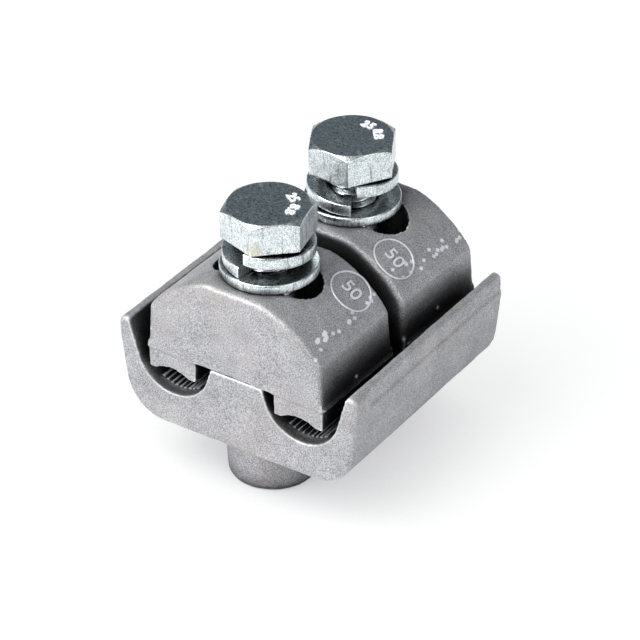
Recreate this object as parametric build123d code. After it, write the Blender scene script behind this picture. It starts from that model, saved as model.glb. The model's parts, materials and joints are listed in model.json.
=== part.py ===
"""Parallel groove clamp: a cast aluminium base with two conductor grooves, two cast keepers that
press on both conductors, and two M8 hexagon screws with flat and spring washers.

X runs across the conductors, Y along them and Z up. The origin is at the bottom centre, between
the two bosses that the clamp stands on. Millimetres and degrees.
"""
from build123d import *
import math
import os

# Base casting
BASE_LENGTH = 42.7
BASE_WIDTH = 44.2          # across the parting line, where it is widest
BASE_DEPTH = 13.2          # underside to the top of the rib
WALL_DRAFT = 7.0           # the outer walls lean in below the parting line
PARTING_RISE = 0.8         # parting line above the top of the rib
RIM_RISE = 4.1             # rim tips above the top of the rib
RIM_ROUND = 1.3            # outer edge of the rims
CORNER_RADIUS = 7.0        # long lower corners
END_ROUND = 0.7            # edges around both end faces
GROOVE_RADIUS = 6.75
GROOVE_SPACING = 23.9      # centre to centre of the two conductors
GROOVE_CENTRE_DROP = 0.3   # groove centres below the top of the rib
RIB_DRAFT = 18.0
RIM_DRAFT = 16.0
LEDGE_STEP = 0.35          # the wall above the parting line is set in by this much
LEDGE_START = 4.0          # from the front end face

# Bosses under the base, tapped for the screws
SCREW_SPACING = 23.0
BOSS_DIAMETER = 14.6
BOSS_HEIGHT = 8.7
BOSS_DRAFT = 2.0
BOSS_ROUND = 0.9
THREAD_CLEARANCE = 0.05    # radial, between the screw and its tapped hole
HOLE_CHAMFER = 0.5

# Serrations that grip the conductors
TOOTH_PITCH = 0.88
TOOTH_HEIGHT = 0.45
GROOVE_TEETH = 9
PAD_TEETH = 7
TOOTH_BACKING = 0.4
TOOTH_END_GAP = 2.0        # plain stretch between the teeth and each end face

# Keepers
KEEPER_LENGTH = 19.6
KEEPER_SPACING = 22.8      # centre to centre along Y
KEEPER_WIDTH = 32.9        # at the parting line, where it is widest
KEEPER_DRAFT = 5.0         # the sides lean in above the parting line
KEEPER_HEIGHT = 15.1       # seat on the rib to the flat land on the crown
CROWN_RISE = 0.7           # the arch would reach this far above the flat land
ARCH_RADIUS = 19.5
SHOULDER_ROUND = 1.8
LAND_ROUND = 3.0
KEEPER_END_ROUND = 1.0
BEAD_PROUD = 0.5           # flash bead around the parting line
BEAD_HEIGHT = 0.9
LEG_DROP = 3.8
LEG_INNER = 7.35           # half the gap between the legs
LEG_DRAFT = 2.0
PAD_RADIUS = 5.5           # hollow under each leg
PAD_DEPTH = 1.0
SLOT_WIDTH = 9.4
SLOT_LENGTH = 18.6
MARK_RADIUS = 3.5          # bare cast ring on the right slope
MARK_DEPTH = 0.12
MARK_LINE = 0.35
MARK_ACROSS = 11.6
MARK_ALONG = 5.6           # from the keeper's middle towards the gap
FRONT_KEEPER_SHIFT = -0.4  # play in the slots lets each keeper lie a little off centre
REAR_KEEPER_SHIFT = 0.5
FRONT_KEEPER_TURN = -0.8
REAR_KEEPER_TURN = -2.6

# Flat washers
WASHER_DIAMETER = 15.5
WASHER_HOLE = 8.4
WASHER_THICKNESS = 1.6
WASHER_EDGE = 0.2

# Spring washers, not yet pressed flat
SPRING_DIAMETER = 14.5
SPRING_HOLE = 8.3
SPRING_THICKNESS = 2.0
FRONT_SPRING_HEIGHT = 4.7
REAR_SPRING_HEIGHT = 5.3   # less pressed than the front one
SPRING_SPLIT = 8.0         # angle between the cut ends
FRONT_SPLIT_ANGLE = -92.0
REAR_SPLIT_ANGLE = -55.0

# M8 hexagon screws
SCREW_DIAMETER = 8.0
SCREW_LENGTH = 40.0
HEAD_FLATS = 13.0
HEAD_HEIGHT = 5.3
HEAD_CROWN = 12.2          # diameter of the flat on top of the head
HEAD_CHAMFER_ANGLE = 30.0
HEAD_GAP = 0.05            # between the head and the free spring washer
TIP_CHAMFER = 1.0
FRONT_HEAD_ANGLE = 43.0
REAR_HEAD_ANGLE = 58.0

# Heights above the ground, worked out from the sizes above
UNDERSIDE = BOSS_HEIGHT
RIB_TOP = UNDERSIDE + BASE_DEPTH
RIM_TOP = RIB_TOP + RIM_RISE
PARTING = RIB_TOP + PARTING_RISE
GROOVE_CENTRE = RIB_TOP - GROOVE_CENTRE_DROP
LAND = RIB_TOP + KEEPER_HEIGHT
WASHER_TOP = LAND + WASHER_THICKNESS
SPRING_MEAN_RADIUS = (SPRING_DIAMETER + SPRING_HOLE) / 4
PAD_MIDDLE = (LEG_INNER + KEEPER_WIDTH / 2) / 2


def along_y(face, length):
    """A face drawn across the conductors, run out to a length centred on Y = 0."""
    return extrude(Plane.XZ * face, length / 2, both=True)


def on_arc(centre, radius, angle):
    """The point at an angle on a circle."""
    turn = math.radians(angle)
    return (centre[0] + radius * math.cos(turn), centre[1] + radius * math.sin(turn))


def teeth(centre, radius, middle_angle, count):
    """A curved comb of pointed ridges that stand inwards from a circle."""
    step = math.degrees(TOOTH_PITCH / radius)
    start = middle_angle - count * step / 2
    points = []
    for half in range(2 * count + 1):
        height = TOOTH_HEIGHT if half % 2 else 0
        points.append(on_arc(centre, radius - height, start + half * step / 2))
    end = start + count * step
    back_start = on_arc(centre, radius + TOOTH_BACKING, start)
    back_middle = on_arc(centre, radius + TOOTH_BACKING, middle_angle)
    back_end = on_arc(centre, radius + TOOTH_BACKING, end)
    comb = Polyline(*points, back_end)
    comb += ThreePointArc(back_end, back_middle, back_start)
    comb += Line(back_start, points[0])
    return make_face(comb)


def trough_face():
    """What is cut out between the rims: the space above the rib and both grooves."""
    centre = (GROOVE_SPACING / 2, GROOVE_CENTRE)
    over = RIM_TOP + RIM_RISE
    rib_foot = on_arc(centre, GROOVE_RADIUS, 180 + RIB_DRAFT)
    rim_foot = on_arc(centre, GROOVE_RADIUS, -RIM_DRAFT)
    floor = on_arc(centre, GROOVE_RADIUS, -90)
    rib_edge = rib_foot[0] - (RIB_TOP - rib_foot[1]) * math.tan(math.radians(RIB_DRAFT))
    rim_edge = rim_foot[0] + (over - rim_foot[1]) * math.tan(math.radians(RIM_DRAFT))
    side = Line((0, RIB_TOP), (rib_edge, RIB_TOP))
    side += Line((rib_edge, RIB_TOP), rib_foot)
    side += ThreePointArc(rib_foot, floor, rim_foot)
    side += Polyline(rim_foot, (rim_edge, over), (0, over))
    side += Line((0, over), (0, RIB_TOP))
    half = make_face(side)
    return half + mirror(half, Plane.YZ)


def block():
    """The base before its grooves are cut: flat underside, round lower corners, drafted walls."""
    half = BASE_WIDTH / 2
    lean = (PARTING - UNDERSIDE) * math.tan(math.radians(WALL_DRAFT))
    points = [(half, RIM_TOP), (half, PARTING), (half - lean, UNDERSIDE)]
    points += [(lean - half, UNDERSIDE), (-half, PARTING), (-half, RIM_TOP)]
    outline = make_face(Polyline(*points, close=True))
    corners = outline.vertices().sort_by(Axis.Y)
    outline = fillet(corners[:2], CORNER_RADIUS)
    corners = outline.vertices().sort_by(Axis.Y)
    outline = fillet(corners[-2:], RIM_ROUND)
    solid = along_y(outline, BASE_LENGTH)
    ends = solid.faces().sort_by(Axis.Y)
    edges = ends[0].edges() + ends[-1].edges()
    return fillet(edges, END_ROUND)


def boss(y):
    """One round boss with draft and a rounded foot."""
    foot = BOSS_DIAMETER / 2
    root = foot + BOSS_HEIGHT * math.tan(math.radians(BOSS_DRAFT))
    inside = UNDERSIDE + 1
    profile = Polyline((0, 0), (foot, 0), (root, UNDERSIDE), (root, inside), (0, inside), close=True)
    face = make_face(Plane.XZ * profile)
    solid = revolve(face, Axis.Z)
    solid = fillet(solid.edges().sort_by(Axis.Z)[:1], BOSS_ROUND)
    return Pos(0, y, 0) * solid


def tapped_hole(y):
    """The screw hole through rib and boss, with a small chamfer at each mouth."""
    radius = SCREW_DIAMETER / 2 + THREAD_CLEARANCE
    wide = radius + HOLE_CHAMFER
    below = -1
    above = RIB_TOP + 1
    top = RIB_TOP - HOLE_CHAMFER
    points = [(0, below), (wide, below), (wide, 0), (radius, HOLE_CHAMFER), (radius, top)]
    points += [(wide, RIB_TOP), (wide, above), (0, above)]
    face = make_face(Plane.XZ * Polyline(*points, close=True))
    return Pos(0, y, 0) * revolve(face, Axis.Z)


def ledge_cut(side):
    """The thin slice taken off a wall above the parting line."""
    length = BASE_LENGTH - LEDGE_START
    slab = Box(1, length, RIM_TOP, align=(Align.MIN, Align.MIN, Align.MIN))
    x = BASE_WIDTH / 2 - LEDGE_STEP
    slab = Pos(x, LEDGE_START - BASE_LENGTH / 2, PARTING) * slab
    return slab if side > 0 else mirror(slab, Plane.YZ)


def clamp_body():
    """The base: block, grooves, parting ledge, bosses, teeth and tapped holes."""
    solid = block() - along_y(trough_face(), BASE_LENGTH + 2)
    solid = solid - ledge_cut(1) - ledge_cut(-1)
    toothed = BASE_LENGTH - 2 * TOOTH_END_GAP
    for side in (-1, 1):
        centre = (side * GROOVE_SPACING / 2, GROOVE_CENTRE)
        solid += along_y(teeth(centre, GROOVE_RADIUS, -90, GROOVE_TEETH), toothed)
    for y in (-SCREW_SPACING / 2, SCREW_SPACING / 2):
        solid += boss(y)
        solid -= tapped_hole(y)
    return solid


def arch_drop(x):
    """How far the arch lies below its highest point, at a distance from the middle."""
    return ARCH_RADIUS - math.sqrt(ARCH_RADIUS**2 - x**2)


def keeper_face():
    """Outline of a keeper above its legs: drafted sides under an arch with a flat land on top."""
    half = KEEPER_WIDTH / 2
    centre = LAND + CROWN_RISE - ARCH_RADIUS
    upright = LAND + CROWN_RISE - arch_drop(half)
    narrow = half - (upright - RIB_TOP) * math.tan(math.radians(KEEPER_DRAFT))
    shoulder = LAND + CROWN_RISE - arch_drop(narrow)
    land = math.sqrt(ARCH_RADIUS**2 - (LAND - centre) ** 2)
    slope = math.degrees(math.atan2(shoulder - centre, narrow) + math.atan2(LAND - centre, land)) / 2
    bend = on_arc((0, centre), ARCH_RADIUS, slope)
    right = Polyline((0, RIB_TOP), (half, RIB_TOP), (narrow, shoulder))
    right += ThreePointArc((narrow, shoulder), bend, (land, LAND))
    right += Polyline((land, LAND), (0, LAND), (0, RIB_TOP))
    face = make_face(right)
    outline = face + mirror(face, Plane.YZ)
    corners = outline.vertices().filter_by(lambda v: abs(v.Y - shoulder) < 0.01)
    outline = fillet(corners, SHOULDER_ROUND)
    corners = outline.vertices().filter_by(lambda v: abs(v.Y - LAND) < 0.01)
    return fillet(corners, LAND_ROUND)


def leg_face(side):
    """Outline of one leg, hollowed underneath to hold a conductor."""
    outer = KEEPER_WIDTH / 2
    low = RIB_TOP - LEG_DROP
    lean = LEG_DROP * math.tan(math.radians(LEG_DRAFT))
    high = RIB_TOP + 1
    points = [(LEG_INNER, high), (outer, high), (outer, RIB_TOP), (outer - lean, low)]
    points += [(LEG_INNER + lean, low), (LEG_INNER, RIB_TOP)]
    leg = make_face(Polyline(*points, close=True))
    pad = Pos(PAD_MIDDLE, low + PAD_DEPTH - PAD_RADIUS) * Circle(PAD_RADIUS)
    leg = leg - pad
    return leg if side > 0 else mirror(leg, Plane.YZ)


def bead():
    """The flash bead along both sides and across the ends of the legs."""
    half = KEEPER_WIDTH / 2
    inside = half - 1
    low = RIB_TOP - BEAD_HEIGHT / 2
    high = RIB_TOP + BEAD_HEIGHT / 2
    points = [(inside, low), (half, low), (half + BEAD_PROUD, RIB_TOP), (half, high), (inside, high)]
    strip = make_face(Polyline(*points, close=True))
    both = strip + mirror(strip, Plane.YZ)
    return along_y(both, KEEPER_LENGTH - KEEPER_END_ROUND)


def slot():
    """The long hole for the screw, running across the conductors."""
    face = SlotOverall(SLOT_LENGTH, SLOT_WIDTH)
    return Pos(0, 0, UNDERSIDE) * extrude(face, LAND)


def mark_ring(toward_gap):
    """A shallow round line cast into the right slope, left bare inside."""
    slope = math.degrees(math.asin(MARK_ACROSS / ARCH_RADIUS))
    height = LAND + CROWN_RISE - arch_drop(MARK_ACROSS)
    ring = Circle(MARK_RADIUS) - Circle(MARK_RADIUS - MARK_LINE)
    ring = extrude(ring, MARK_RADIUS, both=True)
    place = Location((MARK_ACROSS, toward_gap * MARK_ALONG, height), (0, slope, 0))
    shell = Rot(90, 0, 0) * Cylinder(ARCH_RADIUS, KEEPER_LENGTH)
    core = Rot(90, 0, 0) * Cylinder(ARCH_RADIUS - MARK_DEPTH, KEEPER_LENGTH)
    skin = Pos(0, 0, LAND + CROWN_RISE - ARCH_RADIUS) * (shell - core)
    return skin & (place * ring)


def keeper(toward_gap):
    """One keeper about its own middle; toward_gap is the Y direction of the other keeper."""
    solid = along_y(keeper_face(), KEEPER_LENGTH)
    top_edges = solid.faces().sort_by(Axis.Y)
    rounds = top_edges[0].edges() + top_edges[-1].edges()
    rounds = rounds.filter_by(lambda e: e.center().Z > RIB_TOP + BEAD_HEIGHT)
    solid = fillet(rounds, KEEPER_END_ROUND)
    for side in (-1, 1):
        solid += along_y(leg_face(side), KEEPER_LENGTH)
    solid += bead()
    centre_z = RIB_TOP - LEG_DROP + PAD_DEPTH - PAD_RADIUS
    for side in (-1, 1):
        ridges = teeth((side * PAD_MIDDLE, centre_z), PAD_RADIUS, 90, PAD_TEETH)
        solid += along_y(ridges, KEEPER_LENGTH - 2 * TOOTH_END_GAP)
    solid -= slot()
    return solid - mark_ring(toward_gap)


def placed_keeper(y, shift, turn):
    """A keeper in its place over the grooves."""
    toward_gap = 1 if y < 0 else -1
    return Pos(shift, y, 0) * Rot(0, 0, turn) * keeper(toward_gap)


def flat_washer(y):
    """Flat washer on the land of a keeper."""
    disc = extrude(Circle(WASHER_DIAMETER / 2), WASHER_THICKNESS)
    disc = chamfer(disc.edges().filter_by(GeomType.CIRCLE), WASHER_EDGE)
    hole = extrude(Circle(WASHER_HOLE / 2), WASHER_THICKNESS)
    return Pos(0, y, LAND) * (disc - hole)


def spring_washer(y, height, split_angle):
    """Split spring washer: one left-hand turn of square-edged wire, its low end on the washer."""
    rise = height - SPRING_THICKNESS
    turn = 360 - SPRING_SPLIT
    pitch = rise * 360 / turn
    path = Helix(pitch, rise, SPRING_MEAN_RADIUS, lefthand=True)
    width = (SPRING_DIAMETER - SPRING_HOLE) / 2
    section = Plane(path @ 0, z_dir=path % 0, x_dir=(1, 0, 0)) * Rectangle(width, SPRING_THICKNESS)
    wire = sweep(section, path, is_frenet=True)
    base = WASHER_TOP + SPRING_THICKNESS / 2
    return Pos(0, y, base) * Rot(0, 0, split_angle - SPRING_SPLIT / 2) * wire


def head_limit():
    """Round body whose top chamfer trims the corners of the hexagon."""
    corner = HEAD_FLATS / math.sqrt(3) + 0.1
    crown = HEAD_CROWN / 2
    drop = (corner - crown) * math.tan(math.radians(HEAD_CHAMFER_ANGLE))
    points = [(0, 0), (corner, 0), (corner, HEAD_HEIGHT - drop), (crown, HEAD_HEIGHT), (0, HEAD_HEIGHT)]
    face = make_face(Plane.XZ * Polyline(*points, close=True))
    return revolve(face, Axis.Z)


def hex_screw(y, spring_height, angle):
    """Hexagon screw with its head on the spring washer and its thread in the boss."""
    seat = WASHER_TOP + spring_height + HEAD_GAP
    hexagon = RegularPolygon(HEAD_FLATS / 2, 6, major_radius=False, rotation=angle)
    head = extrude(hexagon, HEAD_HEIGHT) & head_limit()
    shank = Pos(0, 0, -SCREW_LENGTH / 2) * Cylinder(SCREW_DIAMETER / 2, SCREW_LENGTH)
    shank = chamfer(shank.edges().sort_by(Axis.Z)[:1], TIP_CHAMFER)
    return Pos(0, y, seat) * (head + shank)


def build():
    """All sub-parts by name."""
    front = -SCREW_SPACING / 2
    rear = SCREW_SPACING / 2
    parts = {"clamp_body": clamp_body()}
    front_place = (-KEEPER_SPACING / 2, FRONT_KEEPER_SHIFT, FRONT_KEEPER_TURN)
    rear_place = (KEEPER_SPACING / 2, REAR_KEEPER_SHIFT, REAR_KEEPER_TURN)
    parts["front_keeper"] = placed_keeper(*front_place)
    parts["rear_keeper"] = placed_keeper(*rear_place)
    parts["front_flat_washer"] = flat_washer(front)
    parts["rear_flat_washer"] = flat_washer(rear)
    parts["front_spring_washer"] = spring_washer(front, FRONT_SPRING_HEIGHT, FRONT_SPLIT_ANGLE)
    parts["rear_spring_washer"] = spring_washer(rear, REAR_SPRING_HEIGHT, REAR_SPLIT_ANGLE)
    parts["front_bolt"] = hex_screw(front, FRONT_SPRING_HEIGHT, FRONT_HEAD_ANGLE)
    parts["rear_bolt"] = hex_screw(rear, REAR_SPRING_HEIGHT, REAR_HEAD_ANGLE)
    return parts


def main():
    os.makedirs("parts", exist_ok=True)
    for name, shape in build().items():
        export_step(shape, f"parts/{name}.step")
        print(name, round(shape.volume, 1))


main()
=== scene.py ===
"""The looks of the parallel groove clamp: cast aluminium pieces with soft cast edges, worn rims that also
carry a painted highlight, fine grain and painted shade in recesses, and zinc-plated screws and washers, on a
white studio floor."""
import json
import math

import bmesh
import bpy
import numpy as np
from mathutils import Matrix, Vector, noise

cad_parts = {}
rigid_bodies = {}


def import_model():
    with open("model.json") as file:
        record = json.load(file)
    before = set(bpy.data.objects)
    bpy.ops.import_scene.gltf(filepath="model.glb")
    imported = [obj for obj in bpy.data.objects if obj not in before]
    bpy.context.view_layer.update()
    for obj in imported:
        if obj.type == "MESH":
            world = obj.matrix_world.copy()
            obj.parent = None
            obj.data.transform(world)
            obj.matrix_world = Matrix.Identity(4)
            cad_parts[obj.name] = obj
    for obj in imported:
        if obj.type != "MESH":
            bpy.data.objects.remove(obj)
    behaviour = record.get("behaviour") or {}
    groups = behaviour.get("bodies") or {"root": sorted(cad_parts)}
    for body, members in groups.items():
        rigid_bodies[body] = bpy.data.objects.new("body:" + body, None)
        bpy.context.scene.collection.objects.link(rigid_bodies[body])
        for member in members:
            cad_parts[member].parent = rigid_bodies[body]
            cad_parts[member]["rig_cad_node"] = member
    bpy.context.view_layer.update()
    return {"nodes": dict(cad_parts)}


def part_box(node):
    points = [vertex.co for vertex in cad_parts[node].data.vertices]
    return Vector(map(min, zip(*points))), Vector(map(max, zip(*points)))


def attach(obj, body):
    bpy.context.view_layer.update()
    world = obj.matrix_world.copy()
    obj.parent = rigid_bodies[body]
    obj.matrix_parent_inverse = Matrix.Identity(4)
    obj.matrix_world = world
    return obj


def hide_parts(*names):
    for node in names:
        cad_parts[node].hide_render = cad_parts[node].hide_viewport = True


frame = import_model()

MM = 0.001

# Sizes of the CAD part that its boxes don't tell, in mm and degrees
RIB_TOP = 21.9
GROOVE_SPACING = 23.9
GROOVE_CENTRE = RIB_TOP - 0.3
GROOVE_RADIUS = 6.75
TOOTH_PITCH = 0.88
TOOTH_HEIGHT = 0.45
GROOVE_TEETH = 9
TOOTH_END_GAP = 2.0
ARCH_RADIUS = 19.5
ARCH_AXIS = RIB_TOP + 15.8 - ARCH_RADIUS
MARK_ACROSS = 11.6
MARK_ALONG = 5.6
MARK_RING = 3.5
SLOPE_HALF = 8.6           # the plain stretch of a slope: along the conductors, and across them
SLOPE_START = 7.5
SLOPE_END = 14.0
WASHER_HOLE = 4.2
SPRING_HOLE = 4.15
SPRING_THICKNESS = 2.0
SPRING_SPLIT = 8.0
HEAD_HEIGHT = 5.3
SHANK_LENGTH = 40.0
THREAD_PITCH = 1.25
THREAD_CREST = 3.98
THREAD_DEPTH = 0.65
TIP_RADIUS = 2.93

# Looks, in mm: how fine each skin is, and small forms that only the skins have
BODY_VOXEL = 0.3
KEEPER_VOXEL = 0.25
HEAD_VOXEL = 0.11
LEG_STEP = 0.22            # the legs' ends lie behind the face above the parting line
LEG_REACH = 1.2
FIGURE_RAISE = 0.15        # the figures stand this far above the top of the head
FIGURE_RADIUS = 4.0
FIGURE_SIZE = 2.3

# What differs between the front and the rear set; gap is the direction of the other keeper
ENDS = {
    "front": {"gap": 1, "shift": -0.4, "turn": -0.8, "split": -92.0, "figures": (8.0, 57.0)},
    "rear": {"gap": -1, "shift": 0.5, "turn": -2.6, "split": -55.0, "figures": (38.0, 84.0)},
}


# ---------------------------------------------------------------- mesh helpers

def new_object(name, vertices, faces):
    """A mesh object from lists of points (metres) and faces."""
    mesh = bpy.data.meshes.new(name)
    mesh.from_pydata([tuple(v) for v in vertices], [], faces)
    mesh.update()
    return linked(name, mesh)


def linked(name, data):
    """An object for a mesh, curve, light or camera, put into the scene."""
    made = bpy.data.objects.new(name, data)
    bpy.context.collection.objects.link(made)
    return made


def torus_faces(steps, around):
    """Faces of a closed ring of closed sections."""
    faces = []
    for i in range(steps):
        for j in range(around):
            a = i * around + j
            b = i * around + (j + 1) % around
            c = ((i + 1) % steps) * around + (j + 1) % around
            d = ((i + 1) % steps) * around + j
            faces.append((a, d, c, b))
    return faces


def centre_of(node):
    """Middle of a node's box."""
    low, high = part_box(node)
    return (Vector(low) + Vector(high)) / 2


def points_of(mesh):
    """All vertex positions of a mesh as an array."""
    flat = np.empty(len(mesh.vertices) * 3)
    mesh.vertices.foreach_get("co", flat)
    return flat.reshape(-1, 3)


def set_points(mesh, points):
    """Writes vertex positions back."""
    mesh.vertices.foreach_set("co", points.ravel())
    mesh.update()


def apply_modifiers(obj):
    """Replaces the object's mesh by its modified one."""
    graph = bpy.context.evaluated_depsgraph_get()
    mesh = bpy.data.meshes.new_from_object(obj.evaluated_get(graph))
    obj.modifiers.clear()
    old = obj.data
    obj.data = mesh
    bpy.data.meshes.remove(old)


def joined(name, sources):
    """One object with the geometry of several, whose own objects are removed."""
    work = bmesh.new()
    for source in sources:
        work.from_mesh(source.data)
    bmesh.ops.remove_doubles(work, verts=work.verts, dist=1e-7)
    mesh = bpy.data.meshes.new(name)
    work.to_mesh(mesh)
    work.free()
    for source in sources:
        if "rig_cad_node" not in source:
            bpy.data.objects.remove(source)
    return linked(name, mesh)


def remeshed(obj, voxel, smooth_steps):
    """Fuses an object's shells into one even skin with softened edges. The voxel is in mm."""
    obj.data.transform(Matrix.Scale(1 / MM, 4))
    skin = obj.modifiers.new("Skin", "REMESH")
    skin.mode = "VOXEL"
    skin.voxel_size = voxel
    soft = obj.modifiers.new("Soft", "SMOOTH")
    soft.factor = 0.5
    soft.iterations = smooth_steps
    apply_modifiers(obj)
    obj.data.transform(Matrix.Scale(MM, 4))


def roughened(obj, amount, scale, seed):
    """Moves the skin in and out a little, as a sand casting's does. Amount and scale are in mm."""
    points = points_of(obj.data)
    normals = np.array([v.normal for v in obj.data.vertices])
    offset = Vector((seed, 2.3 * seed, 5.1 * seed))
    shift = np.array([noise.noise(Vector(point) / (scale * MM) + offset) for point in points])
    points += normals * (shift * amount * MM)[:, None]
    set_points(obj.data, points)


def kept_inside(obj, low, high):
    """Limits a skin to a box."""
    set_points(obj.data, np.clip(points_of(obj.data), np.array(low), np.array(high)))


def smooth_shaded(obj, angle=None):
    """Smooth shading, with edges sharper than an angle (degrees) kept hard."""
    mesh = obj.data
    mesh.polygons.foreach_set("use_smooth", [True] * len(mesh.polygons))
    if angle is not None:
        mesh.set_sharp_from_angle(angle=math.radians(angle))


def blob(place, radius, squash):
    """A small rounded lump that the skin then flows over. The radius is in mm."""
    work = bmesh.new()
    bmesh.ops.create_icosphere(work, subdivisions=2, radius=radius * MM)
    bmesh.ops.scale(work, vec=squash, verts=work.verts)
    bmesh.ops.translate(work, vec=place, verts=work.verts)
    mesh = bpy.data.meshes.new("lump")
    work.to_mesh(mesh)
    work.free()
    return linked("lump", mesh)


def figures(text, size, depth):
    """Raised figures about the origin, in metres; size and depth are in mm."""
    curve = bpy.data.curves.new("figures", "FONT")
    curve.body = text
    curve.size = size * MM
    curve.align_x = "CENTER"
    curve.align_y = "CENTER"
    curve.extrude = depth * MM
    curve.offset = 0.03 * MM
    holder = linked("figures", curve)
    graph = bpy.context.evaluated_depsgraph_get()
    mesh = bpy.data.meshes.new_from_object(holder.evaluated_get(graph))
    bpy.data.objects.remove(holder)
    return mesh


def finish_piece(obj, body, material, node=None):
    """Gives a piece its material, slot and body, and hides the node that it stands for."""
    obj.data.materials.clear()
    obj.data.materials.append(material)
    if node:
        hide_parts(node)
    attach(obj, body)
    return obj


# ---------------------------------------------------------------- materials

class Nodes:
    """Short calls for building a node tree."""

    def __init__(self, name):
        self.material = bpy.data.materials.new(name)
        self.material.use_nodes = True
        self.tree = self.material.node_tree
        self.shader = self.tree.nodes["Principled BSDF"]
        coordinates = self.tree.nodes.new("ShaderNodeTexCoord")
        self.position = coordinates.outputs["Object"]

    def link(self, source, target):
        self.tree.links.new(source, target)

    def noise(self, size_mm, detail=2.0, roughness=0.5, stretch=(1, 1, 1)):
        """Noise with features of about a size."""
        mapping = self.tree.nodes.new("ShaderNodeMapping")
        mapping.inputs["Scale"].default_value = stretch
        self.link(self.position, mapping.inputs["Vector"])
        texture = self.tree.nodes.new("ShaderNodeTexNoise")
        texture.inputs["Scale"].default_value = 1 / (size_mm * MM)
        texture.inputs["Detail"].default_value = detail
        texture.inputs["Roughness"].default_value = roughness
        self.link(mapping.outputs["Vector"], texture.inputs["Vector"])
        return texture.outputs["Fac"]

    def ramp(self, source, stops):
        """Colours or greys along a value."""
        ramp = self.tree.nodes.new("ShaderNodeValToRGB")
        elements = ramp.color_ramp.elements
        while len(elements) < len(stops):
            elements.new(0.5)
        for element, (place, colour) in zip(elements, stops):
            element.position = place
            if not isinstance(colour, tuple):
                colour = (colour, colour, colour)
            element.color = (*colour, 1)
        self.link(source, ramp.inputs["Fac"])
        return ramp.outputs["Color"]

    def mix(self, factor, first, second, blend="MIX"):
        """Mixes two colours; each may be a socket or a fixed colour."""
        node = self.tree.nodes.new("ShaderNodeMix")
        node.data_type = "RGBA"
        node.blend_type = blend
        for socket, value in (("Factor_Float", factor), ("A_Color", first), ("B_Color", second)):
            target = next(s for s in node.inputs if s.identifier == socket)
            if isinstance(value, bpy.types.NodeSocket):
                self.link(value, target)
            elif isinstance(value, tuple):
                target.default_value = (*value, 1)
            else:
                target.default_value = value
        return next(s for s in node.outputs if s.identifier == "Result_Color")

    def times(self, first, second):
        """Two colours multiplied."""
        return self.mix(1.0, first, second, "MULTIPLY")

    def bump(self, height, strength, distance_mm, below=None):
        """Bump from a height, on top of an earlier bump."""
        node = self.tree.nodes.new("ShaderNodeBump")
        node.inputs["Strength"].default_value = strength
        node.inputs["Distance"].default_value = distance_mm * MM
        self.link(height, node.inputs["Height"])
        if below:
            self.link(below, node.inputs["Normal"])
        return node.outputs["Normal"]

    def edges(self, low, high):
        """White along convex edges, black elsewhere."""
        geometry = self.tree.nodes.new("ShaderNodeNewGeometry")
        return self.ramp(geometry.outputs["Pointiness"], [(low, 0.0), (high, 1.0)])

    def openness(self, reach_mm, stops):
        """A painted shade: a grey that falls off in gaps, holes and corners."""
        node = self.tree.nodes.new("ShaderNodeAmbientOcclusion")
        node.inputs["Distance"].default_value = reach_mm * MM
        node.samples = 6
        return self.ramp(node.outputs["AO"], stops)

    def spot(self, place, radius_mm, strength):
        """A soft round stain about a point."""
        mapping = self.tree.nodes.new("ShaderNodeMapping")
        mapping.vector_type = "TEXTURE"
        mapping.inputs["Location"].default_value = place
        mapping.inputs["Scale"].default_value = [radius_mm * MM] * 3
        self.link(self.position, mapping.inputs["Vector"])
        gradient = self.tree.nodes.new("ShaderNodeTexGradient")
        gradient.gradient_type = "SPHERICAL"
        self.link(mapping.outputs["Vector"], gradient.inputs["Vector"])
        return self.ramp(gradient.outputs["Fac"], [(0.0, 0.0), (0.6, strength)])


def cast_aluminium():
    """Matt sand-cast aluminium: mottled grey, fine grain, painted shade in recesses, and rubbed edges that
    also carry a painted highlight.
    """
    make = Nodes("cast_aluminium_skin")
    mottle = make.noise(4.0, 3.0, 0.6)
    tone = make.ramp(mottle, [(0.3, (0.30, 0.298, 0.31)), (0.7, (0.385, 0.38, 0.395))])
    grain = make.noise(0.2, 2.0, 0.7)
    colour = make.times(tone, make.ramp(grain, [(0.36, 0.55), (0.5, 1.0), (0.64, 1.4)]))
    warm = make.ramp(make.noise(9.0, 2.0, 0.5), [(0.5, 0.0), (0.75, 0.4)])
    colour = make.mix(warm, colour, (0.42, 0.375, 0.34))
    # painted shade: ambient occlusion darkens the colour in gaps, holes and recesses
    painted_recess_shade = make.openness(7.0, [(0.15, 0.008), (0.45, 0.07), (0.62, 0.36), (0.8, 1.0)])
    colour = make.times(colour, painted_recess_shade)
    patches = make.ramp(mottle, [(0.2, 0.5), (0.6, 1.0)])
    # rubbed edges: convex edges turn bright, partly wear and partly a painted highlight where edges catch
    # the light
    colour = make.mix(make.times(make.edges(0.52, 0.575), patches), colour, (0.80, 0.81, 0.83))
    make.link(colour, make.shader.inputs["Base Color"])
    make.shader.inputs["Metallic"].default_value = 0.6
    make.link(make.ramp(grain, [(0.3, 0.62), (0.7, 0.46)]), make.shader.inputs["Roughness"])
    relief = make.bump(make.noise(0.9, 3.0, 0.6), 0.3, 0.10)
    relief = make.bump(grain, 0.5, 0.05, relief)
    make.link(relief, make.shader.inputs["Normal"])
    return make.material


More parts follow.
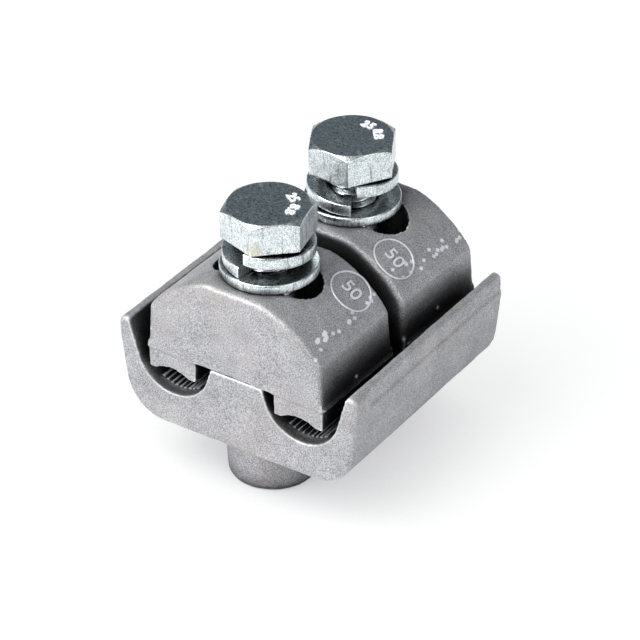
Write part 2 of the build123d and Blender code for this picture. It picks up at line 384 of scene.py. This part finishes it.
def zinc_plate(name, dark, light, metallic):
    """Zinc plating: cool metal with a faint cloud, fine streaks, painted shade under the heads and in gaps,
    rubbed edges.
    """
    make = Nodes(name)
    cloud = make.noise(1.6, 3.0, 0.65)
    middle = tuple((a + b) / 2 for a, b in zip(dark, light))
    tone = make.ramp(cloud, [(0.3, dark), (0.5, middle), (0.7, light)])
    colour = make.times(tone, make.ramp(make.noise(0.22, 2.0, 0.7), [(0.34, 0.42), (0.62, 1.12)]))
    streak = make.noise(0.45, 3.0, 0.65, (1.0, 1.0, 0.1))
    colour = make.times(colour, make.ramp(streak, [(0.32, 0.50), (0.44, 1.0)]))
    # painted shade: ambient occlusion darkens the colour under the heads and in gaps
    painted_recess_shade = make.openness(3.0, [(0.15, 0.02), (0.45, 0.22), (0.68, 1.0)])
    colour = make.times(colour, painted_recess_shade)
    colour = make.mix(make.edges(0.53, 0.62), colour, (0.93, 0.94, 0.94))
    stain = make.spot(STAIN_PLACE, 1.5, 0.55)
    colour = make.mix(stain, colour, (0.50, 0.42, 0.22))
    make.link(colour, make.shader.inputs["Base Color"])
    make.shader.inputs["Metallic"].default_value = metallic
    make.link(make.ramp(streak, [(0.3, 0.24), (0.7, 0.36)]), make.shader.inputs["Roughness"])
    relief = make.bump(make.noise(0.5, 2.0, 0.6), 0.35, 0.03)
    relief = make.bump(streak, 0.25, 0.02, relief)
    make.link(relief, make.shader.inputs["Normal"])
    return make.material


BOLT_LOW, BOLT_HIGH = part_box("front_bolt")
STAIN_PLACE = (1.9 * MM, BOLT_LOW[1] + 1.0 * MM, BOLT_HIGH[2] - 4.3 * MM)
ALUMINIUM = cast_aluminium()
ZINC = zinc_plate("zinc_plate_skin", (0.58, 0.65, 0.68), (0.80, 0.83, 0.82), 1.0)
ZINC_RUBBED = zinc_plate("zinc_rubbed_skin", (0.80, 0.84, 0.86), (0.90, 0.92, 0.93), 0.2)


# ---------------------------------------------------------------- castings

def on_slope(end, across, along, height):
    """A point over a keeper's slope, from arc lengths about the middle of its cast ring, in mm."""
    facts = ENDS[end]
    turn = math.asin(MARK_ACROSS / ARCH_RADIUS) + across / ARCH_RADIUS
    radius = ARCH_RADIUS + height
    x = radius * math.sin(turn)
    y = facts["gap"] * MARK_ALONG + along
    z = ARCH_AXIS + radius * math.cos(turn)
    spin = math.radians(facts["turn"])
    middle_y = centre_of(end + "_keeper")[1] / MM
    return Vector((facts["shift"] + x * math.cos(spin) - y * math.sin(spin),
                   middle_y + x * math.sin(spin) + y * math.cos(spin), z)) * MM


def own_axes(end, points):
    """How far points lie across and along a keeper, in the axes that turn with it."""
    spin = math.radians(-ENDS[end]["turn"])
    x = points[:, 0] - ENDS[end]["shift"] * MM
    y = points[:, 1] - centre_of(end + "_keeper")[1]
    return x * math.cos(spin) - y * math.sin(spin), x * math.sin(spin) + y * math.cos(spin)


def without_ring(end):
    """A copy of a keeper's solid whose engraved ring is levelled up to the slope."""
    copy = linked("keeper", frame["nodes"][end + "_keeper"].data.copy())
    points = points_of(copy.data)
    middle = on_slope(end, 0, 0, 0)
    out = np.array((on_slope(end, 0, 0, 1) - middle).normalized())
    away = points - np.array(middle)
    depth = away @ out
    beside = np.linalg.norm(away - depth[:, None] * out, axis=1)
    chosen = (beside < (MARK_RING + 0.1) * MM) & (depth > -1.5 * MM)
    across, _ = own_axes(end, points)
    points[chosen, 2] = ARCH_AXIS * MM + np.sqrt((ARCH_RADIUS * MM) ** 2 - across[chosen] ** 2)
    set_points(copy.data, points)
    return copy


def cast_skin(name, sources, node, voxel, slopes_of=None):
    """A casting's skin over its solid and lumps: soft edges, slightly uneven faces."""
    piece = joined(name, sources)
    remeshed(piece, voxel, 3)
    if slopes_of:
        smoothed_slopes(piece, slopes_of)
    roughened(piece, 0.05, 1.1, 3.0)
    roughened(piece, 0.08, 6.0, 8.0)
    low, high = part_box(node)
    kept_inside(piece, low, high)
    smooth_shaded(piece)
    return piece


def body_lumps():
    """Drops of metal at the front end of the right rim."""
    low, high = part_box("clamp_body")
    x = high[0] - 1.1 * MM
    y = low[1] + 0.9 * MM
    top = high[2]
    places = [
        ((x, y, top - 0.9 * MM), 0.8, (1.2, 1.3, 1.0)),
        ((x - 1.5 * MM, y, top - 3.4 * MM), 0.65, (0.8, 1.2, 1.2)),
        ((x - 2.0 * MM, y + 0.3 * MM, top - 5.2 * MM), 0.5, (0.9, 1.0, 1.0)),
    ]
    return [blob(*place) for place in places]


def clamp_body():
    """The base casting."""
    source = frame["nodes"]["clamp_body"]
    skin = cast_skin("clamp_body_casting", [source, *body_lumps()], "clamp_body", BODY_VOXEL)
    return finish_piece(skin, "base", ALUMINIUM, "clamp_body")


def smoothed_slopes(obj, end):
    """Brings the skin of a keeper's slopes onto the arch where it already faces outwards."""
    points = points_of(obj.data)
    normals = np.array([v.normal for v in obj.data.vertices])
    x, y = own_axes(end, points)
    z = points[:, 2] - ARCH_AXIS * MM
    radius = np.hypot(x, z)
    facing = (normals[:, 0] * x + normals[:, 2] * z) / radius
    near = np.abs(radius - ARCH_RADIUS * MM) < 0.4 * MM
    along = np.abs(y) < SLOPE_HALF * MM
    across = (np.abs(x) > SLOPE_START * MM) & (np.abs(x) < SLOPE_END * MM)
    chosen = near & along & across & (facing > 0.85) & (z > 0)
    share = np.where(chosen, ARCH_RADIUS * MM / radius, 1.0)
    points[:, 2] = z * share + ARCH_AXIS * MM
    set_points(obj.data, points)


def set_back_legs(obj, end):
    """The outer end of the legs lies a little behind the face above the parting line."""
    points = points_of(obj.data)
    side = -ENDS[end]["gap"]
    low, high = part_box(end + "_keeper")
    face = low[1] if side < 0 else high[1]
    near = np.abs(points[:, 1] - face) < LEG_REACH * MM
    below = points[:, 2] < (RIB_TOP - 0.1) * MM
    points[near & below, 1] -= side * LEG_STEP * MM
    set_points(obj.data, points)


def keeper(end):
    """A keeper casting with its raised ring and figures."""
    node = end + "_keeper"
    skin = cast_skin(node + "_casting", [without_ring(end)], node, KEEPER_VOXEL, end)
    set_back_legs(skin, end)
    finish_piece(skin, end + "_jaw", ALUMINIUM, node)
    mark = joined(node + "_mark", [raised_ring(end), slope_figures(end)])
    smooth_shaded(mark, 40)
    finish_piece(mark, end + "_jaw", ALUMINIUM)


def raised_ring(end):
    """A fine raised ring on the slope, half sunk."""
    steps = 72
    around = 8
    vertices = []
    for i in range(steps):
        turn = 2 * math.pi * i / steps
        for j in range(around):
            roll = 2 * math.pi * j / around
            radius = MARK_RING + 0.17 * math.cos(roll)
            height = 0.02 + 0.15 * math.sin(roll)
            vertices.append(on_slope(end, radius * math.cos(turn), radius * math.sin(turn), height))
    return new_object("ring", vertices, torus_faces(steps, around))


def slope_figures(end):
    """A plain size number inside the ring, laid onto the slope."""
    mesh = figures("50", 3.4, 0.12)
    for vertex in mesh.vertices:
        across, along, height = vertex.co / MM
        vertex.co = on_slope(end, across, along, height)
    return linked("slope_figures", mesh)


def groove_teeth(side):
    """The serrations of one groove as crisp ridges, each a little uneven along its tip."""
    low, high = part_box("clamp_body")
    start = low[1] + TOOTH_END_GAP * MM
    end = high[1] - TOOTH_END_GAP * MM
    steps = 24
    pitch = TOOTH_PITCH / GROOVE_RADIUS
    vertices = []
    faces = []
    for tooth in range(GROOVE_TEETH):
        middle = -math.pi / 2 + (tooth + 0.5 - GROOVE_TEETH / 2) * pitch
        first = len(vertices)
        for i in range(steps + 1):
            y = start + (end - start) * i / steps
            ragged = 0.06 * noise.noise(Vector((tooth * 7.3, i * 1.7, side)))
            for turn, radius in (
                (middle - pitch / 2, GROOVE_RADIUS + 0.3),
                (middle - pitch / 2, GROOVE_RADIUS),
                (middle, GROOVE_RADIUS - TOOTH_HEIGHT + ragged),
                (middle + pitch / 2, GROOVE_RADIUS),
                (middle + pitch / 2, GROOVE_RADIUS + 0.3),
            ):
                x = side * GROOVE_SPACING / 2 + radius * math.cos(turn)
                z = GROOVE_CENTRE + radius * math.sin(turn)
                vertices.append((x * MM, y, z * MM))
        for i in range(steps):
            for j in range(5):
                a = first + i * 5 + j
                b = first + i * 5 + (j + 1) % 5
                faces.append((a, b, b + 5, a + 5))
        faces.append(tuple(first + j for j in reversed(range(5))))
        faces.append(tuple(first + steps * 5 + j for j in range(5)))
    name = "right_groove_teeth" if side > 0 else "left_groove_teeth"
    ridges = new_object(name, vertices, faces)
    smooth_shaded(ridges, 20)
    return finish_piece(ridges, "base", ALUMINIUM)


clamp_body()
for SIDE in (-1, 1):
    groove_teeth(SIDE)
for END in ENDS:
    keeper(END)


# ---------------------------------------------------------------- screws and washers

def rounded_box(width, height, corner, steps=3):
    """Points around a rectangle with round corners, about its middle, in mm."""
    points = []
    for sx, sy, start in ((1, -1, -90), (1, 1, 0), (-1, 1, 90), (-1, -1, 180)):
        cx = sx * (width / 2 - corner)
        cy = sy * (height / 2 - corner)
        for i in range(steps + 1):
            turn = math.radians(start + 90 * i / steps)
            points.append((cx + corner * math.cos(turn), cy + corner * math.sin(turn)))
    return points


def flat_washer(end):
    """Flat washer with softly rounded punched edges."""
    node = end + "_flat_washer"
    low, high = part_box(node)
    middle = centre_of(node)
    outer = (high[0] - low[0]) / 2 / MM
    height = (high[2] - low[2]) / MM
    section = rounded_box(outer - WASHER_HOLE, height, 0.28)
    mean = (outer + WASHER_HOLE) / 2
    steps = 128
    vertices = []
    for i in range(steps):
        turn = 2 * math.pi * i / steps
        for across, up in section:
            radius = (mean + across) * MM
            place = (radius * math.cos(turn), radius * math.sin(turn), up * MM)
            vertices.append(middle + Vector(place))
    ring = new_object(node + "_plate", vertices, torus_faces(steps, len(section)))
    smooth_shaded(ring)
    return finish_piece(ring, end + "_jaw", ZINC, node)


def spring_washer(end):
    """One left-hand turn of wire with plain radial cut ends, rounded at its corners."""
    node = end + "_spring_washer"
    low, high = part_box(node)
    middle = centre_of(end + "_flat_washer")
    outer = (high[0] - low[0]) / 2 / MM
    section = rounded_box(outer - SPRING_HOLE, SPRING_THICKNESS - 0.02, 0.25)
    mean = (outer + SPRING_HOLE) / 2
    rise = (high[2] - low[2]) / MM - SPRING_THICKNESS
    steps = 120
    count = len(section)
    vertices = []
    faces = []
    start = ENDS[end]["split"] - SPRING_SPLIT / 2
    for i in range(steps + 1):
        share = i / steps
        turn = math.radians(start - share * (360 - SPRING_SPLIT))
        for across, up in section:
            radius = (mean + across) * MM
            z = low[2] + (SPRING_THICKNESS / 2 + share * rise + up) * MM
            vertices.append((middle[0] + radius * math.cos(turn), middle[1] + radius * math.sin(turn), z))
    for i in range(steps):
        for j in range(count):
            a = i * count + j
            b = i * count + (j + 1) % count
            faces.append((a, b, b + count, a + count))
    faces.append(tuple(reversed(range(count))))
    faces.append(tuple(range(steps * count, (steps + 1) * count)))
    wire = new_object(node + "_coil", vertices, faces)
    kept_inside(wire, low, high)
    smooth_shaded(wire, 40)
    return finish_piece(wire, end + "_jaw", ZINC, node)



def head_solid(end):
    """The hexagon head alone, cut from the screw's CAD solid and closed underneath."""
    low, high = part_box(end + "_bolt")
    work = bmesh.new()
    work.from_mesh(frame["nodes"][end + "_bolt"].data)
    bmesh.ops.remove_doubles(work, verts=work.verts, dist=1e-7)
    cut = high[2] - (HEAD_HEIGHT + 0.4) * MM
    everything = work.verts[:] + work.edges[:] + work.faces[:]
    result = bmesh.ops.bisect_plane(
        work, geom=everything, plane_co=(0, 0, cut), plane_no=(0, 0, 1), clear_inner=True
    )
    rim = [e for e in result["geom_cut"] if isinstance(e, bmesh.types.BMEdge)]
    bmesh.ops.contextual_create(work, geom=rim)
    mesh = bpy.data.meshes.new("head")
    work.to_mesh(mesh)
    work.free()
    return linked("head", mesh)


def screw_head(end):
    """Hexagon head with soft edges and raised figures that are rubbed bright."""
    node = end + "_bolt"
    low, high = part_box(node)
    top = high[2] - FIGURE_RAISE * MM
    head = joined(node + "_head", [head_solid(end)])
    remeshed(head, HEAD_VOXEL, 2)
    roughened(head, 0.03, 1.5, 4.0)
    kept_inside(head, low, (high[0], high[1], top))
    smooth_shaded(head)
    finish_piece(head, end + "_screw", ZINC, node)
    middle = centre_of(end + "_flat_washer")
    raised = []
    for text, angle in zip(("8.8", "25"), ENDS[end]["figures"]):
        turn = math.radians(angle)
        x = middle[0] + FIGURE_RADIUS * MM * math.cos(turn)
        y = middle[1] + FIGURE_RADIUS * MM * math.sin(turn)
        mesh = figures(text, FIGURE_SIZE, FIGURE_RAISE)
        mesh.transform(Matrix.Translation((x, y, top)) @ Matrix.Rotation(turn - math.pi / 2, 4, "Z"))
        raised.append(linked("figures", mesh))
    numbers = joined(node + "_figures", raised)
    finish_piece(numbers, end + "_screw", ZINC_RUBBED)


def screw_shank(end):
    """Right-hand threaded shank from under the head to its tapered tip."""
    node = end + "_bolt"
    low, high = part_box(node)
    middle = centre_of(end + "_flat_washer")
    segments = 40
    per_turn = 8
    rings = int(SHANK_LENGTH / THREAD_PITCH * per_turn)
    vertices = []
    for i in range(rings + 1):
        height = i * THREAD_PITCH / per_turn
        for j in range(segments):
            share = (i / per_turn - j / segments) % 1
            radius = THREAD_CREST - THREAD_DEPTH * abs(2 * share - 1)
            radius = min(radius, TIP_RADIUS + height)
            turn = 2 * math.pi * j / segments
            place = (radius * MM * math.cos(turn), radius * MM * math.sin(turn))
            vertices.append((middle[0] + place[0], middle[1] + place[1], low[2] + height * MM))
    faces = []
    for i in range(rings):
        for j in range(segments):
            a = i * segments + j
            b = i * segments + (j + 1) % segments
            faces.append((a, b, b + segments, a + segments))
    faces.append(tuple(reversed(range(segments))))
    faces.append(tuple(range(rings * segments, (rings + 1) * segments)))
    shank = new_object(node + "_shank", vertices, faces)
    smooth_shaded(shank, 50)
    return finish_piece(shank, end + "_screw", ZINC)


for END in ENDS:
    flat_washer(END)
    spring_washer(END)
    screw_head(END)
    screw_shank(END)


# ---------------------------------------------------------------- studio

def floor():
    """A wide white floor; its shadow is deepest under the clamp."""
    size = 3.0
    corners = [(-size, -size, 0), (size, -size, 0), (size, size, 0), (-size, size, 0)]
    plane = new_object("studio_floor", corners, [(0, 1, 2, 3)])
    make = Nodes("studio_white")
    make.shader.inputs["Base Color"].default_value = (0.93, 0.93, 0.93, 1)
    make.shader.inputs["Roughness"].default_value = 0.9
    glow = make.tree.nodes.new("ShaderNodeEmission")
    # painted shadow: the floor's glow for camera rays is darkened by ambient occlusion under and near the
    # clamp
    stops = [(0.0, (0.50, 0.50, 0.52)), (0.35, (0.78, 0.78, 0.79)), (0.75, (1.0, 1.0, 1.0))]
    shade = make.openness(22.0, stops)
    make.link(shade, glow.inputs["Color"])
    path = make.tree.nodes.new("ShaderNodeLightPath")
    share = make.tree.nodes.new("ShaderNodeMath")
    share.operation = "MULTIPLY"
    share.inputs[1].default_value = 0.8
    make.link(path.outputs["Is Camera Ray"], share.inputs[0])
    mix = make.tree.nodes.new("ShaderNodeMixShader")
    make.link(share.outputs[0], mix.inputs["Fac"])
    make.link(make.shader.outputs["BSDF"], mix.inputs[1])
    make.link(glow.outputs["Emission"], mix.inputs[2])
    make.link(mix.outputs["Shader"], make.tree.nodes["Material Output"].inputs["Surface"])
    plane.data.materials.append(make.material)


def world():
    """White to the camera; a room with a pale horizon and a dim ceiling to everything else."""
    made = bpy.data.worlds.new("studio")
    bpy.context.scene.world = made
    made.use_nodes = True
    tree = made.node_tree
    tree.nodes.clear()
    coordinates = tree.nodes.new("ShaderNodeTexCoord")
    split = tree.nodes.new("ShaderNodeSeparateXYZ")
    tree.links.new(coordinates.outputs["Generated"], split.inputs["Vector"])
    ramp = tree.nodes.new("ShaderNodeValToRGB")
    stops = [(0.0, (0.8, 0.8, 0.8, 1)), (0.12, (0.72, 0.74, 0.76, 1)), (0.38, (0.045, 0.07, 0.085, 1)),
             (0.75, (0.16, 0.19, 0.22, 1)), (1.0, (0.5, 0.5, 0.5, 1))]
    elements = ramp.color_ramp.elements
    while len(elements) < len(stops):
        elements.new(0.5)
    for element, (place, colour) in zip(elements, stops):
        element.position = place
        element.color = colour
    tree.links.new(split.outputs["Z"], ramp.inputs["Fac"])
    room = tree.nodes.new("ShaderNodeBackground")
    tree.links.new(ramp.outputs["Color"], room.inputs["Color"])
    white = tree.nodes.new("ShaderNodeBackground")
    path = tree.nodes.new("ShaderNodeLightPath")
    mix = tree.nodes.new("ShaderNodeMixShader")
    tree.links.new(path.outputs["Is Camera Ray"], mix.inputs["Fac"])
    tree.links.new(room.outputs["Background"], mix.inputs[1])
    tree.links.new(white.outputs["Background"], mix.inputs[2])
    out = tree.nodes.new("ShaderNodeOutputWorld")
    tree.links.new(mix.outputs["Shader"], out.inputs["Surface"])


def lamp(name, azimuth, elevation, distance, size, power):
    """A square soft lamp that looks at the clamp."""
    data = bpy.data.lights.new(name, "AREA")
    data.shape = "SQUARE"
    data.size = size
    data.energy = power
    made = linked(name, data)
    a = math.radians(azimuth)
    e = math.radians(elevation)
    out = Vector((math.sin(a) * math.cos(e), -math.cos(a) * math.cos(e), math.sin(e)))
    made.location = out * distance + Vector((0, 0, RIB_TOP * MM))
    made.rotation_euler = out.to_track_quat("Z", "Y").to_euler()


CAMERA = {"azimuth": 34.2, "elevation": 33.47, "roll": -0.742, "distance": 0.5, "right": 1.097, "up": -0.661}
FOCAL_SHARE = 4.9613       # focal length over the picture's width
SENSOR = 36.0


def camera():
    """The camera at its viewing angle."""
    a = math.radians(CAMERA["azimuth"])
    e = math.radians(CAMERA["elevation"])
    r = math.radians(CAMERA["roll"])
    back = Vector((math.sin(a) * math.cos(e), -math.cos(a) * math.cos(e), math.sin(e)))
    right = Vector((math.cos(a), math.sin(a), 0))
    up = back.cross(right)
    rolled_right = right * math.cos(r) + up * math.sin(r)
    rolled_up = up * math.cos(r) - right * math.sin(r)
    data = bpy.data.cameras.new("camera")
    data.sensor_width = SENSOR
    data.lens = FOCAL_SHARE * SENSOR
    data.clip_start = 0.01
    made = linked("camera", data)
    place = back * CAMERA["distance"] + rolled_right * CAMERA["right"] * MM + rolled_up * CAMERA["up"] * MM
    place += Vector((0, 0, RIB_TOP * MM))
    matrix = Matrix((rolled_right, rolled_up, back)).transposed().to_4x4()
    matrix.translation = place
    made.matrix_world = matrix
    bpy.context.scene.camera = made


floor()
world()
lamp("key", -30, 50, 0.6, 0.5, 6.0)
lamp("fill", 80, 35, 0.7, 0.5, 1.8)
camera()
bpy.context.scene.view_settings.view_transform = "Standard"
